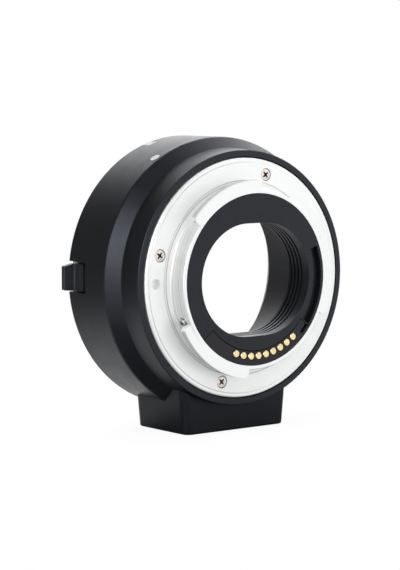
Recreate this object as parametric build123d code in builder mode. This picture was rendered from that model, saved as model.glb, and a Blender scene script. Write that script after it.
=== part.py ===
import os
from math import cos, degrees, hypot, radians, sin

from build123d import *

# Lens mount adapter. Sizes are in millimetres and angles in degrees.
# The optical axis is Y: the camera is on the -Y side and the lens on the +Y side. Z is up.
# The origin is on the axis in the plane of the camera flange.
# Angles about the axis run from +X towards +Z.

# Overall layout
flange_distance = 26.0
barrel_skin = 1.3
barrel_edge = 0.3
shoulder_y = 10.1
shoulder_round = 1.0
neck_root_y = 6.7
neck_cove = 0.7
neck_taper = 0.25
rim_y = 0.35
rim_width = 1.5
rim_chamfer = 0.15

# Clearances, and how far a cut runs past a face
fit_gap = 0.03
seat_gap = 0.05
insert_gap = 0.1
slide_gap = 0.15
overrun = 1.0

# Inside of the barrel
web_thickness = 4.0
web_bore_step = 2.3
bore_step = 0.4

# Camera mount ring
mount_neck_wall = 0.9
mount_neck_length = 4.9
mount_neck_fillet = 0.5
mount_neck_edge = 0.15
camera_flange_width = 7.2
camera_flange_thickness = 2.4
camera_flange_edge = 0.25
camera_rim_gap = 0.35
edge_band_width = 0.95
bearing_relief = 0.08
groove_offset = 1.3
groove_width = 0.6
groove_depth = 0.25
inner_relief = 0.12
camera_tab_height = 2.2
camera_tab_thickness = 1.7
camera_tab_corner = 1.2
camera_tab_angles = [(86, 141), (206, 264), (-25, 24)]
lock_dimple_radius = 1.2
lock_dimple_depth = 1.6
lock_dimple_offset = 2.35
camera_screw_offset = 2.0
camera_screw_angle = 75
mount_screw_count = 4

# Small screws
screw_head_radius = 1.42
screw_head_height = 0.75
screw_head_dome = 0.2
screw_head_gap = 0.12
screw_shank_radius = 0.8
screw_length = 5.2
screw_sink = 0.15

# Bayonet stop pin, a small screw in the side of the neck
stop_pin_radius = 0.95
stop_pin_head_height = 0.65
stop_pin_dome = 0.2
stop_pin_seat_depth = 0.15
stop_pin_shank_radius = 0.5
stop_pin_shank_length = 0.7
stop_pin_angle = 205.2
stop_pin_y = -2.15

# Light baffle
throat_radius = 16.0
throat_flat_inset = 2.65
throat_groove_count = 4
throat_groove_pitch = 1.3
throat_groove_width = 0.65
throat_groove_depth = 0.35
throat_lip = 2.45
baffle_face_width = 4.3
baffle_setback = 0.05
flare_step = 1.6
flare_end_inset = 4.4
flare_end_y = 19.0
baffle_wall = 1.2
baffle_flange_width = 1.3
baffle_flange_thickness = 1.2
baffle_lug_radius = 2.1
baffle_lug_offset = 1.0
baffle_lug_angles = [30, 120, 210]
pocket_offset = 0.5
pocket_wall = 0.65
pocket_angles = (-36.2, 21.5)
pocket_lip = 0.05
pocket_depth = 1.3

# Camera contacts
insert_wall = 0.45
insert_joint = 0.18
insert_angles = (-139.3, -37.0)
insert_thickness = 3.2
insert_notch_angle = 8
insert_notch_width = 0.9
insert_notch_depth = 1.6
camera_contact_count = 9
camera_contact_radius = 0.85
camera_contact_ring = 0.12
camera_contact_ring_depth = 0.5
camera_contact_inset = 2.15
camera_contact_pitch_angle = 7.1
camera_contact_first_angle = -109.1
camera_contact_proud = 0.1
camera_contact_edge = 0.12

# Lens mount ring
lens_throat_step = 5.7
lens_flange_width = 4.85
lens_ring_gap = 0.15
lens_ring_thickness = 2.2
lens_ring_proud = 0.6
lens_ring_edge = 0.3
lens_throat_chamfer = 1.0
lens_tab_height = 1.7
lens_tab_thickness = 1.4
lens_tab_corner = 0.6
lens_tab_span_angle = 50
lens_tab_angles = [51, 171, 291]
lens_screw_offset = 2.6
lens_screw_angle = 30

# Leaf springs behind the lens ring
leaf_thickness = 0.35
leaf_overhang = 1.2
leaf_grip = 2.4
leaf_span_angle = 20
leaf_angles = [51, 156, 282]

# Lens contacts
lens_block_width = 5.5
lens_block_wall_gap = 0.3
lens_block_half_angle = 36
lens_block_back_y = 15.0
lens_block_thickness = 5.8
lens_cover_thickness = 1.2
lens_cover_edge = 0.3
lens_contact_count = 8
lens_contact_inset = 2.3
lens_contact_pitch_angle = 5.8
lens_contact_tip_radius = 0.6
lens_contact_guide_gap = 0.1
lens_contact_proud = 1.2
lens_contact_collar_radius = 0.85
lens_contact_collar_length = 1.1
lens_contact_tail_radius = 0.35
lens_contact_tail_length = 1.6
lens_contact_bore_gap = 0.15
lens_contact_bore_floor = 1.6
lens_contact_spring_radius = 0.8
lens_contact_spring_wall = 0.3
lens_block_screw_inset = 1.5
lens_block_screw_margin_angle = 5
lens_block_screw_length = 10.5
ledge_margin_angle = 1
ledge_start_y = 8.0
ledge_gap = 0.2
block_room = 1.5
block_room_angle = 4

# Flexible circuit between the two sets of contacts
flex_thickness = 0.25
flex_width = 8.0
flex_gap = 0.5
flex_bend_radius = 0.4
flex_run_inset = 0.7
flex_step_y = 4.0
flex_collar_inset = 1.0
flex_rise_start = 1.2
flex_rise_end = 3.8
flex_end_inset = 1.2
flex_tail_length = 0.7
flex_pad_margin = 0.4
flex_pad_margin_angle = 4

# Lens release
release_height = 0.4
release_travel = 2.0
notch_gap = 0.4
notch_start_y = 18.05
lever_half_height = 3.25
lever_drop = 0.2
lever_ridge_top = 2.65
lever_ridge_bottom = 3.05
lever_recess = 0.9
lever_ridge_height = 1.9
lever_ridge_width = 1.25
lever_wall_lean = 0.3
lever_ramp_radius = 0.5
lever_edge = 0.35
lever_corner = 0.7
lever_ring_gap = 0.25
keeper_step = 1.15
keeper_wall = 0.5
lock_pin_offset = 2.6
lock_pin_radius = 1.2
lock_pin_proud = 2.0
lock_pin_nose = 0.4
lock_pin_hole_gap = 0.25
release_spring_radius = 1.1
release_spring_wall = 0.35
release_spring_room = 0.35
release_spring_start_y = 13.0

# Tripod foot
foot_drop = 3.55
foot_block_height = 14.85
foot_front_y = 2.9
foot_back_y = 22.0
foot_front_half_width = 14.7
foot_back_half_width = 15.95
foot_flare = 0.1
foot_corner_radius = 2.0
foot_bottom_edge = 0.5
bush_radius = 4.75
bush_wall = 2.2
bush_length = 7.75
bush_sink = 0.1
bush_mouth = 0.4
foot_screw_x = 9.8
foot_screw_head_radius = 1.9
foot_screw_head_depth = 1.1
foot_screw_sink = 0.3
foot_screw_length = 9.4

# Index marks
mark_depth = 0.2
square_mark_size = 2.5
square_mark_y = 23.75
square_mark_angle = 108.5
dot_mark_radius = 1.2
dot_mark_y = 12.4
dot_mark_angle = 120.8

# Directions
lensward = (0, 1, 0)
downward = (0, 0, -1)
bottom_angle = -90

# Places that follow from the sizes above, from the camera end to the lens end
baffle_radius = throat_radius + baffle_face_width
mount_bore_radius = baffle_radius + insert_gap
mount_neck_radius = mount_bore_radius + mount_neck_wall
lens_throat_radius = mount_neck_radius + lens_throat_step
camera_flange_radius = mount_neck_radius + camera_flange_width
camera_seat_radius = camera_flange_radius + camera_rim_gap
camera_seat_y = camera_flange_thickness
bearing_outer_radius = camera_flange_radius - edge_band_width
groove_inner_radius = mount_neck_radius + groove_offset
groove_outer_radius = groove_inner_radius + groove_width
camera_screw_circle = groove_outer_radius + camera_screw_offset
lock_dimple_circle = groove_outer_radius + lock_dimple_offset
mount_face_y = -mount_neck_length
camera_tab_radius = mount_neck_radius + camera_tab_height
stop_pin_seat_radius = mount_neck_radius - stop_pin_seat_depth
neck_radius = camera_seat_radius + rim_width
neck_root_radius = neck_radius + neck_taper
web_bore_radius = mount_bore_radius + web_bore_step
web_back_y = camera_seat_y + web_thickness

baffle_face_y = mount_face_y + baffle_setback
throat_flat_height = throat_radius - throat_flat_inset
throat_end_y = baffle_face_y + throat_lip + throat_groove_count * throat_groove_pitch
flare_start_radius = throat_radius + flare_step
flare_end_radius = lens_throat_radius - flare_end_inset
flare_slope = (flare_end_radius - flare_start_radius) / (flare_end_y - throat_end_y)
baffle_flange_radius = web_bore_radius + baffle_flange_width
baffle_flange_end_y = web_back_y + baffle_flange_thickness
baffle_lug_circle = baffle_flange_radius + baffle_lug_offset
flare_radius_at_flange = flare_start_radius + flare_slope * (baffle_flange_end_y - throat_end_y)
insert_inner_radius = throat_radius + throat_groove_depth + insert_wall
insert_back_y = baffle_face_y + insert_thickness
insert_joint_angle = degrees(insert_joint / baffle_radius)
camera_contact_circle = baffle_radius - camera_contact_inset
camera_contact_sweep_angle = camera_contact_pitch_angle * (camera_contact_count - 1)
camera_contact_last_angle = camera_contact_first_angle + camera_contact_sweep_angle
pocket_inner_radius = insert_inner_radius + pocket_offset
pocket_outer_radius = baffle_radius - pocket_wall

lens_ring_radius = lens_throat_radius + lens_flange_width
lens_seat_radius = lens_ring_radius + lens_ring_gap
lens_seat_y = flange_distance - lens_ring_thickness
lens_tab_radius = lens_throat_radius - lens_tab_height
lens_screw_circle = lens_throat_radius + lens_screw_offset
barrel_radius = lens_seat_radius + barrel_skin
barrel_bore_radius = lens_throat_radius + bore_step
barrel_wall_middle = (barrel_bore_radius + barrel_radius) / 2
barrel_end_y = flange_distance - lens_ring_proud
leaf_inner_radius = lens_throat_radius - leaf_overhang
leaf_outer_radius = lens_throat_radius + leaf_grip
leaf_gap_angle = degrees(insert_gap / leaf_outer_radius)

lens_block_outer_radius = barrel_bore_radius - lens_block_wall_gap
lens_block_inner_radius = lens_block_outer_radius - lens_block_width
lens_block_start_angle = bottom_angle - lens_block_half_angle
lens_block_stop_angle = bottom_angle + lens_block_half_angle
lens_block_screw_circle = lens_block_outer_radius - lens_block_screw_inset
lens_block_screw_half_angle = lens_block_half_angle - lens_block_screw_margin_angle
lens_block_front_y = lens_block_back_y + lens_block_thickness
lens_cover_front_y = lens_block_front_y + lens_cover_thickness
lens_contact_circle = lens_block_inner_radius + lens_contact_inset
lens_contact_bore_radius = lens_contact_collar_radius + lens_contact_bore_gap
lens_contact_tip_y = lens_cover_front_y + lens_contact_proud
lens_contact_collar_y = lens_block_front_y - seat_gap
lens_contact_shoulder_y = lens_contact_collar_y - lens_contact_collar_length
lens_contact_tail_y = lens_contact_shoulder_y - lens_contact_tail_length
lens_contact_floor_y = lens_block_back_y + lens_contact_bore_floor
ledge_radius = baffle_flange_radius + ledge_gap
ledge_half_angle = lens_block_half_angle + ledge_margin_angle
room_half_angle = ledge_half_angle + block_room_angle

flex_start_y = insert_back_y + fit_gap
flex_run_radius = baffle_radius - flex_run_inset
flex_collar_radius = web_bore_radius - flex_collar_inset
flex_end_radius = ledge_radius - flex_end_inset
flex_tail_y = lens_block_back_y - seat_gap - flex_thickness

notch_half_height = lever_half_height + notch_gap
lever_height = release_height - lever_drop
keeper_half_height = lever_half_height + keeper_step
keeper_half_depth = lock_pin_radius + keeper_wall
lock_pin_circle = lens_throat_radius + lock_pin_offset
lock_pin_place = (-lock_pin_circle, release_height)
keeper_inner_x = -lock_pin_circle + keeper_half_depth
keeper_outer_x = -lock_pin_circle - keeper_half_depth
lever_face_x = -(barrel_radius - lever_recess)
lever_ridge_x = -(barrel_radius + lever_ridge_height)
lever_inner_x = -(lens_ring_radius + lever_ring_gap)
lever_wall_y = barrel_end_y - lever_ridge_width
lever_top_y = lens_seat_y - seat_gap
lever_end_y = notch_start_y + release_travel + slide_gap

foot_bottom_z = -(barrel_radius + foot_drop)
foot_top_z = foot_bottom_z + foot_block_height
foot_middle_y = (foot_front_y + foot_back_y) / 2
foot_screw_places = [(-foot_screw_x, foot_middle_y), (foot_screw_x, foot_middle_y)]
foot_screw_bottom_z = foot_bottom_z + foot_screw_sink
foot_screw_top_z = foot_screw_bottom_z + foot_screw_length
bush_bottom_z = foot_bottom_z + bush_sink
bush_top_z = bush_bottom_z + bush_length


def station(y):
    """Plane across the optical axis, with X to the right and Z up."""
    return Plane(origin=(0, y, 0), x_dir=(1, 0, 0), z_dir=(0, -1, 0))


def on_circle(radius, angle):
    """Point on a circle about the axis, in a station plane."""
    return (radius * cos(radians(angle)), radius * sin(radians(angle)))


def row_on_circle(radius, count, first_angle, pitch):
    """Evenly spaced points on a circle about the axis."""
    return [on_circle(radius, first_angle + i * pitch) for i in range(count)]


def side_plane(radius, angle):
    """Plane that touches a circle about the axis, with its normal outwards and its X along Y."""
    x, z = on_circle(radius, angle)
    return Plane(origin=(x, 0, z), x_dir=(0, 1, 0), z_dir=(x, 0, z))


class ArcBand(BaseSketchObject):
    """Band between two radii and two angles about the axis."""

    def __init__(self, inner, outer, start, stop, mode=Mode.ADD):
        with BuildSketch() as band:
            with BuildLine():
                outside = CenterArc((0, 0), outer, start, stop - start)
                inside = CenterArc((0, 0), inner, start, stop - start)
                Line(outside @ 0, inside @ 0)
                Line(outside @ 1, inside @ 1)
            make_face()
        super().__init__(obj=band.sketch, rotation=0, align=None, mode=mode)


class ThroatOutline(BaseSketchObject):
    """Opening with a flat at the top and at the bottom and round sides, larger all round by grow."""

    def __init__(self, grow=0.0, mode=Mode.ADD):
        width = 2 * (throat_radius + grow)
        height = 2 * (throat_flat_height + grow)
        with BuildSketch() as outline:
            SlotOverall(width, height)
        super().__init__(obj=outline.sketch, rotation=0, align=None, mode=mode)


def turned_outside(allowance):
    """Solid of the barrel's outside, from the rim to the lens end, with an allowance on its radii."""
    with BuildPart() as turned:
        with BuildSketch(Plane.XY) as section:
            with BuildLine():
                Polyline(
                    (0, rim_y),
                    (neck_radius - rim_chamfer + allowance, rim_y),
                    (neck_radius + allowance, rim_y + rim_chamfer),
                    (neck_root_radius + allowance, neck_root_y),
                    (barrel_radius + allowance, shoulder_y),
                    (barrel_radius + allowance, barrel_end_y - barrel_edge),
                    (barrel_radius - barrel_edge + allowance, barrel_end_y),
                    (0, barrel_end_y),
                    close=True,
                )
            make_face()
            cove = section.vertices().sort_by_distance((neck_root_radius + allowance, neck_root_y, 0))[0]
            fillet(cove, radius=neck_cove)
            crest = section.vertices().sort_by_distance((barrel_radius + allowance, shoulder_y, 0))[0]
            fillet(crest, radius=shoulder_round)
        revolve(axis=Axis.Y)
    return turned.part


def cap_screws(places, head_top, length, step):
    """Pan-head screws along the axis at places (x, z), with shanks running along Y in the sense of step."""
    head_base = head_top + step * screw_head_height
    tip = head_top + step * length
    with BuildPart() as screws:
        for x, z in places:
            with BuildSketch(Plane.XY.offset(z)):
                with BuildLine():
                    Polyline(
                        (x, head_top),
                        (x + screw_head_radius - screw_head_dome, head_top),
                        (x + screw_head_radius, head_top + step * screw_head_dome),
                        (x + screw_head_radius, head_base),
                        (x + screw_shank_radius, head_base),
                        (x + screw_shank_radius, tip),
                        (x, tip),
                        close=True,
                    )
                make_face()
            revolve(axis=Axis((x, 0, z), lensward))
    return screws.part


def mark_plates(grow):
    """The two index marks as thin plates in the barrel's surface, larger all round by grow."""
    outside = turned_outside(0)
    floor = turned_outside(-mark_depth)
    with BuildPart() as plates:
        with BuildSketch(side_plane(barrel_radius, square_mark_angle)):
            with Locations((square_mark_y, 0)):
                Rectangle(square_mark_size + 2 * grow, square_mark_size + 2 * grow)
        with BuildSketch(side_plane(barrel_radius, dot_mark_angle)):
            with Locations((dot_mark_y, 0)):
                Circle(dot_mark_radius + grow)
        extrude(amount=-barrel_radius / 2)
        add(outside, mode=Mode.INTERSECT)
        add(floor, mode=Mode.SUBTRACT)
    return plates.part


def save(piece, name):
    """Label a finished piece and write it to its own file."""
    piece.label = name
    export_step(piece, os.path.join("parts", name + ".step"))


mount_screw_pitch_angle = 360 / mount_screw_count
camera_screw_places = row_on_circle(
    camera_screw_circle, mount_screw_count, camera_screw_angle, mount_screw_pitch_angle
)
lens_screw_places = row_on_circle(
    lens_screw_circle, mount_screw_count, lens_screw_angle, mount_screw_pitch_angle
)
baffle_screw_places = [on_circle(baffle_lug_circle, angle) for angle in baffle_lug_angles]
block_screw_places = [
    on_circle(lens_block_screw_circle, bottom_angle + side * lens_block_screw_half_angle) for side in (-1, 1)
]
camera_contact_places = row_on_circle(
    camera_contact_circle, camera_contact_count, camera_contact_first_angle, camera_contact_pitch_angle
)
lens_contact_first_angle = bottom_angle - lens_contact_pitch_angle * (lens_contact_count - 1) / 2
lens_contact_places = row_on_circle(
    lens_contact_circle, lens_contact_count, lens_contact_first_angle, lens_contact_pitch_angle
)

os.makedirs("parts", exist_ok=True)

# Barrel housing: one turned and milled shell
barrel_blank = turned_outside(0)
mark_recesses = mark_plates(fit_gap)
with BuildPart() as barrel_housing:
    add(barrel_blank)
    with BuildSketch(Plane.XY):
        with BuildLine():
            Polyline(
                (0, rim_y - overrun),
                (camera_seat_radius, rim_y - overrun),
                (camera_seat_radius, camera_seat_y),
                (web_bore_radius, camera_seat_y),
                (web_bore_radius, web_back_y),
                (barrel_bore_radius, web_back_y),
                (barrel_bore_radius, lens_seat_y),
                (lens_seat_radius, lens_seat_y),
                (lens_seat_radius, barrel_end_y + overrun),
                (0, barrel_end_y + overrun),
                close=True,
            )
        make_face()
    revolve(axis=Axis.Y, mode=Mode.SUBTRACT)
    # ledge under the lens contact block
    with BuildSketch(station(ledge_start_y)):
        ArcBand(
            ledge_radius,
            barrel_wall_middle,
            bottom_angle - ledge_half_angle,
            bottom_angle + ledge_half_angle,
        )
    extrude(amount=lens_block_back_y - ledge_start_y, dir=lensward)
    # screw holes for the camera ring, the lens ring, the baffle and the contact block
    with BuildSketch(station(camera_seat_y)):
        with Locations(*camera_screw_places):
            Circle(screw_shank_radius + fit_gap)
    camera_hole_depth = screw_sink + screw_length - camera_flange_thickness + seat_gap
    extrude(amount=camera_hole_depth, dir=lensward, mode=Mode.SUBTRACT)
    with BuildSketch(station(lens_seat_y)):
        with Locations(*lens_screw_places):
            Circle(screw_shank_radius + fit_gap)
    lens_hole_depth = screw_sink + screw_length - lens_ring_thickness + seat_gap
    extrude(amount=lens_hole_depth, mode=Mode.SUBTRACT)
    with BuildSketch(station(web_back_y)):
        with Locations(*baffle_screw_places):
            Circle(screw_shank_radius + fit_gap)
    baffle_hole_depth = screw_length - screw_head_height - baffle_flange_thickness + seat_gap
    extrude(amount=baffle_hole_depth, mode=Mode.SUBTRACT)
    with BuildSketch(station(lens_block_back_y)):
        with Locations(*block_screw_places):
            Circle(screw_shank_radius + fit_gap)
    block_stack = screw_head_height + lens_cover_thickness + lens_block_thickness
    extrude(amount=lens_block_screw_length - block_stack + seat_gap, mode=Mode.SUBTRACT)
    # recesses for the leaf springs
    with BuildSketch(station(lens_seat_y)):
        for angle in leaf_angles:
            ArcBand(
                leaf_inner_radius,
                leaf_outer_radius + insert_gap,
                angle - leaf_span_angle / 2 - leaf_gap_angle,
                angle + leaf_span_angle / 2 + leaf_gap_angle,
            )
    extrude(amount=leaf_thickness + seat_gap, mode=Mode.SUBTRACT)
    # notch for the release lever, with a wider slot inside for its keeper and a bore for its spring
    with BuildSketch(station(notch_start_y)):
        with Locations((keeper_outer_x, release_height)):
            Rectangle(barrel_radius, 2 * notch_half_height, align=(Align.MAX, Align.CENTER))
        with Locations(lock_pin_place):
            Rectangle(2 * (keeper_half_depth + slide_gap), 2 * (keeper_half_height + slide_gap))
    extrude(amount=flange_distance, dir=lensward, mode=Mode.SUBTRACT)
    with BuildSketch(station(notch_start_y)):
        with Locations(lock_pin_place):
            Circle(release_spring_radius + release_spring_room)
    extrude(amount=notch_start_y - release_spring_start_y, mode=Mode.SUBTRACT)
    # holes for the foot's screws and the tripod bush
    with BuildSketch(Plane.XY.offset(foot_screw_top_z + seat_gap)):
        with Locations(*foot_screw_places):
            Circle(screw_shank_radius + fit_gap)
    extrude(amount=barrel_radius, dir=downward, mode=Mode.SUBTRACT)
    with BuildSketch(Plane.XY.offset(bush_top_z + seat_gap)):
        with Locations((0, foot_middle_y)):
            Circle(bush_radius + fit_gap)
    extrude(amount=barrel_radius, dir=downward, mode=Mode.SUBTRACT)
    add(mark_recesses, mode=Mode.SUBTRACT)
save(barrel_housing.part, "barrel_housing")

# White index marks, set into the barrel's surface
index_marks = mark_plates(0)
save(index_marks, "index_marks")

# Camera mount ring: flange, neck and three outward bayonet tabs
with BuildPart() as camera_mount_ring:
    with BuildSketch(Plane.XY) as section:
        with BuildLine():
            Polyline(
                (mount_bore_radius, camera_flange_thickness),
                (camera_flange_radius, camera_flange_thickness),
                (camera_flange_radius, bearing_relief + camera_flange_edge),
                (camera_flange_radius - camera_flange_edge, bearing_relief),
                (bearing_outer_radius, bearing_relief),
                (bearing_outer_radius - bearing_relief, 0),
                (groove_outer_radius, 0),
                (groove_outer_radius, groove_depth),
                (groove_inner_radius, groove_depth),
                (groove_inner_radius, inner_relief),
                (mount_neck_radius, inner_relief),
                (mount_neck_radius, mount_face_y + mount_neck_edge),
                (mount_neck_radius - mount_neck_edge, mount_face_y),
                (mount_bore_radius, mount_face_y),
                close=True,
            )
        make_face()
        neck_root = section.vertices().sort_by_distance((mount_neck_radius, inner_relief, 0))[0]
        fillet(neck_root, radius=mount_neck_fillet)
    revolve(axis=Axis.Y)
    with BuildSketch(station(mount_face_y)) as tabs:
        for start, stop in camera_tab_angles:
            ArcBand(mount_neck_radius - mount_neck_wall / 2, camera_tab_radius, start, stop)
        tab_corners = tabs.vertices().filter_by(lambda v: hypot(v.X, v.Y) > mount_neck_radius)
        fillet(tab_corners, radius=camera_tab_corner)
    extrude(amount=camera_tab_thickness, dir=lensward)
    # sunk heads and shanks of the screws, and the hole of the lock pin
    with BuildSketch(station(0)):
        with Locations(*camera_screw_places):
            Circle(screw_head_radius + screw_head_gap)
    extrude(amount=screw_sink + screw_head_height, dir=lensward, mode=Mode.SUBTRACT)
    with BuildSketch(station(0)):
        with Locations(*camera_screw_places):
            Circle(screw_shank_radius + fit_gap)
    extrude(amount=camera_flange_thickness, dir=lensward, mode=Mode.SUBTRACT)
    with BuildSketch(station(0)):
        with Locations((-lock_dimple_circle, 0)):
            Circle(lock_dimple_radius)
    extrude(amount=lock_dimple_depth, dir=lensward, mode=Mode.SUBTRACT)
    # flat seat and hole of the stop pin in the side of the neck
    with BuildSketch(side_plane(stop_pin_seat_radius, stop_pin_angle)):
        with Locations((stop_pin_y, 0)):
            Circle(stop_pin_radius + fit_gap)
    extrude(amount=stop_pin_head_height, mode=Mode.SUBTRACT)
    with BuildSketch(side_plane(stop_pin_seat_radius, stop_pin_angle)):
        with Locations((stop_pin_y, 0)):
            Circle(stop_pin_shank_radius + fit_gap)
    extrude(amount=-mount_neck_wall, mode=Mode.SUBTRACT)
save(camera_mount_ring.part, "camera_mount_ring")

# Screws of the camera mount ring
camera_mount_screws = cap_screws(camera_screw_places, screw_sink, screw_length, 1)
save(camera_mount_screws, "camera_mount_screws")

# Screw in the side of the neck that stops the bayonet's turn
with BuildPart() as bayonet_stop_pin:
    with BuildSketch(side_plane(stop_pin_seat_radius + fit_gap, stop_pin_angle)):
        with Locations((stop_pin_y, 0)):
            Circle(stop_pin_radius)
    extrude(amount=stop_pin_head_height)
    head_rim = bayonet_stop_pin.edges().filter_by(GeomType.CIRCLE).sort_by_distance((0, stop_pin_y, 0))[-1]
    fillet(head_rim, radius=stop_pin_dome)
    with BuildSketch(side_plane(stop_pin_seat_radius + fit_gap, stop_pin_angle)):
        with Locations((stop_pin_y, 0)):
            Circle(stop_pin_shank_radius)
    extrude(amount=-stop_pin_shank_length)
save(bayonet_stop_pin.part, "bayonet_stop_pin")

# Pocket beside the contact insert, with a floor that slopes down towards the rim
with BuildPart() as pocket:
    with BuildSketch(Plane.XY):
        with BuildLine():
            Polyline(
                (pocket_inner_radius, baffle_face_y),
                (pocket_outer_radius, baffle_face_y),
                (pocket_outer_radius, baffle_face_y + pocket_depth),
                (pocket_inner_radius, baffle_face_y + pocket_lip),
                close=True,
            )
        make_face()
    revolve(axis=Axis.Y)
    with BuildSketch(station(baffle_face_y)):
        ArcBand(pocket_inner_radius - overrun, pocket_outer_radius + overrun, *pocket_angles)
    extrude(amount=pocket_depth, dir=lensward, mode=Mode.INTERSECT)

# Light baffle: a throat with flats and grooves at the camera end that flares towards the lens
with BuildPart() as light_baffle:
    with BuildSketch(Plane.XY):
        with BuildLine():
            Polyline(
                (0, baffle_face_y),
                (baffle_radius, baffle_face_y),
                (baffle_radius, camera_seat_y + seat_gap),
                (web_bore_radius - slide_gap, camera_seat_y + seat_gap),
                (web_bore_radius - slide_gap, web_back_y),
                (baffle_flange_radius, web_back_y),
                (baffle_flange_radius, baffle_flange_end_y),
                (flare_radius_at_flange + baffle_wall, baffle_flange_end_y),
                (flare_end_radius + baffle_wall, flare_end_y),
                (0, flare_end_y),
                close=True,
            )
        make_face()
    revolve(axis=Axis.Y)
    # lugs for the screws
    with BuildSketch(station(web_back_y)):
        with Locations(*baffle_screw_places):
            Circle(baffle_lug_radius)
    extrude(amount=baffle_flange_thickness, dir=lensward)
    with BuildSketch(station(web_back_y)):
        with Locations(*baffle_screw_places):
            Circle(screw_shank_radius + fit_gap)
    extrude(amount=baffle_flange_thickness, dir=lensward, mode=Mode.SUBTRACT)
    # flare, throat and light-trap grooves
    with BuildSketch(Plane.XY):
        with BuildLine():
            Polyline(
                (0, throat_end_y),
                (flare_start_radius, throat_end_y),
                (flare_end_radius, flare_end_y),
                (0, flare_end_y),
                close=True,
            )
        make_face()
    revolve(axis=Axis.Y, mode=Mode.SUBTRACT)
    with BuildSketch(station(baffle_face_y)):
        ThroatOutline()
    extrude(amount=throat_end_y - baffle_face_y, dir=lensward, mode=Mode.SUBTRACT)
    for i in range(throat_groove_count):
        with BuildSketch(station(baffle_face_y + throat_lip + i * throat_groove_pitch)):
            ThroatOutline(throat_groove_depth)
        extrude(amount=throat_groove_width, dir=lensward, mode=Mode.SUBTRACT)
    # seat of the contact insert, and the recess beside it
    with BuildSketch(station(baffle_face_y)):
        ArcBand(insert_inner_radius, baffle_radius + overrun, *insert_angles)
    extrude(amount=insert_thickness + flex_thickness + insert_gap, dir=lensward, mode=Mode.SUBTRACT)
    add(pocket.part, mode=Mode.SUBTRACT)
    # channel for the flexible circuit, which steps outwards behind the mount ring
    with BuildSketch(station(insert_back_y)):
        with Locations((0, flex_gap + flex_thickness - flex_run_radius)):
            Rectangle(flex_width + flex_gap, baffle_radius, align=(Align.CENTER, Align.MAX))
    extrude(amount=flex_step_y + flex_gap - insert_back_y, dir=lensward, mode=Mode.SUBTRACT)
    with BuildSketch(station(flex_step_y - flex_gap)):
        with Locations((0, flex_gap + flex_thickness - flex_collar_radius)):
            Rectangle(flex_width + flex_gap, baffle_radius, align=(Align.CENTER, Align.MAX))
    extrude(amount=baffle_flange_end_y - flex_step_y + flex_gap, dir=lensward, mode=Mode.SUBTRACT)
    # room for the lens contact block
    with BuildSketch(station(lens_block_back_y - block_room)):
        ArcBand(throat_radius, barrel_radius, bottom_angle - room_half_angle, bottom_angle + room_half_angle)
    extrude(amount=flange_distance, dir=lensward, mode=Mode.SUBTRACT)
save(light_baffle.part, "light_baffle")

# Screws of the light baffle
baffle_screws = cap_screws(baffle_screw_places, baffle_flange_end_y + screw_head_height, screw_length, -1)
save(baffle_screws, "baffle_screws")

# Insert that carries the camera contacts, each in a shallow ring
with BuildPart() as camera_contact_block:
    with BuildSketch(station(baffle_face_y)):
        ArcBand(
            insert_inner_radius + insert_joint,
            baffle_radius,
            insert_angles[0] + insert_joint_angle,
            insert_angles[1] - insert_joint_angle,
        )
        with Locations(*camera_contact_places):
            Circle(camera_contact_radius + fit_gap, mode=Mode.SUBTRACT)
    extrude(amount=insert_thickness, dir=lensward)
    with BuildSketch(station(baffle_face_y)):
        with Locations(*camera_contact_places):
            Circle(camera_contact_radius + camera_contact_ring)
    extrude(amount=camera_contact_ring_depth, dir=lensward, mode=Mode.SUBTRACT)
    with BuildSketch(station(baffle_face_y)):
        ArcBand(
            pocket_outer_radius - insert_notch_width,
            pocket_outer_radius,
            insert_angles[1] - insert_notch_angle,
            insert_angles[1],
        )
    extrude(amount=insert_notch_depth, dir=lensward, mode=Mode.SUBTRACT)
save(camera_contact_block.part, "camera_contact_block")

# Fixed camera contacts
with BuildPart() as camera_contacts:
    with BuildSketch(station(baffle_face_y - camera_contact_proud)):
        with Locations(*camera_contact_places):
            Circle(camera_contact_radius)
    extrude(amount=camera_contact_proud + insert_thickness, dir=lensward)
    chamfer(camera_contacts.edges().group_by(Axis.Y)[0], length=camera_contact_edge)
save(camera_contacts.part, "camera_contacts")

# Flexible circuit: an arc-shaped pad behind the camera contacts and a strip to the lens contacts
with BuildPart() as flex_circuit:
    with BuildSketch(station(flex_start_y)):
        ArcBand(
            insert_inner_radius + flex_pad_margin,
            baffle_radius - flex_pad_margin,
            camera_contact_first_angle - flex_pad_margin_angle,
            camera_contact_last_angle + flex_pad_margin_angle,
        )
    extrude(amount=flex_thickness, dir=lensward)
    with BuildSketch(Plane.YZ):
        with BuildLine():
            FilletPolyline(
                (flex_start_y, -flex_run_radius),
                (flex_step_y, -flex_run_radius),
                (flex_step_y, -flex_collar_radius),
                (ledge_start_y + flex_rise_start, -flex_collar_radius),
                (ledge_start_y + flex_rise_end, -flex_end_radius),
                (flex_tail_y, -flex_end_radius),
                (flex_tail_y, -flex_end_radius - flex_tail_length),
                radius=flex_bend_radius,
            )
            offset(amount=flex_thickness, side=Side.LEFT)
        make_face()
    extrude(amount=flex_width / 2, both=True)
save(flex_circuit.part, "flex_circuit")

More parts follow.
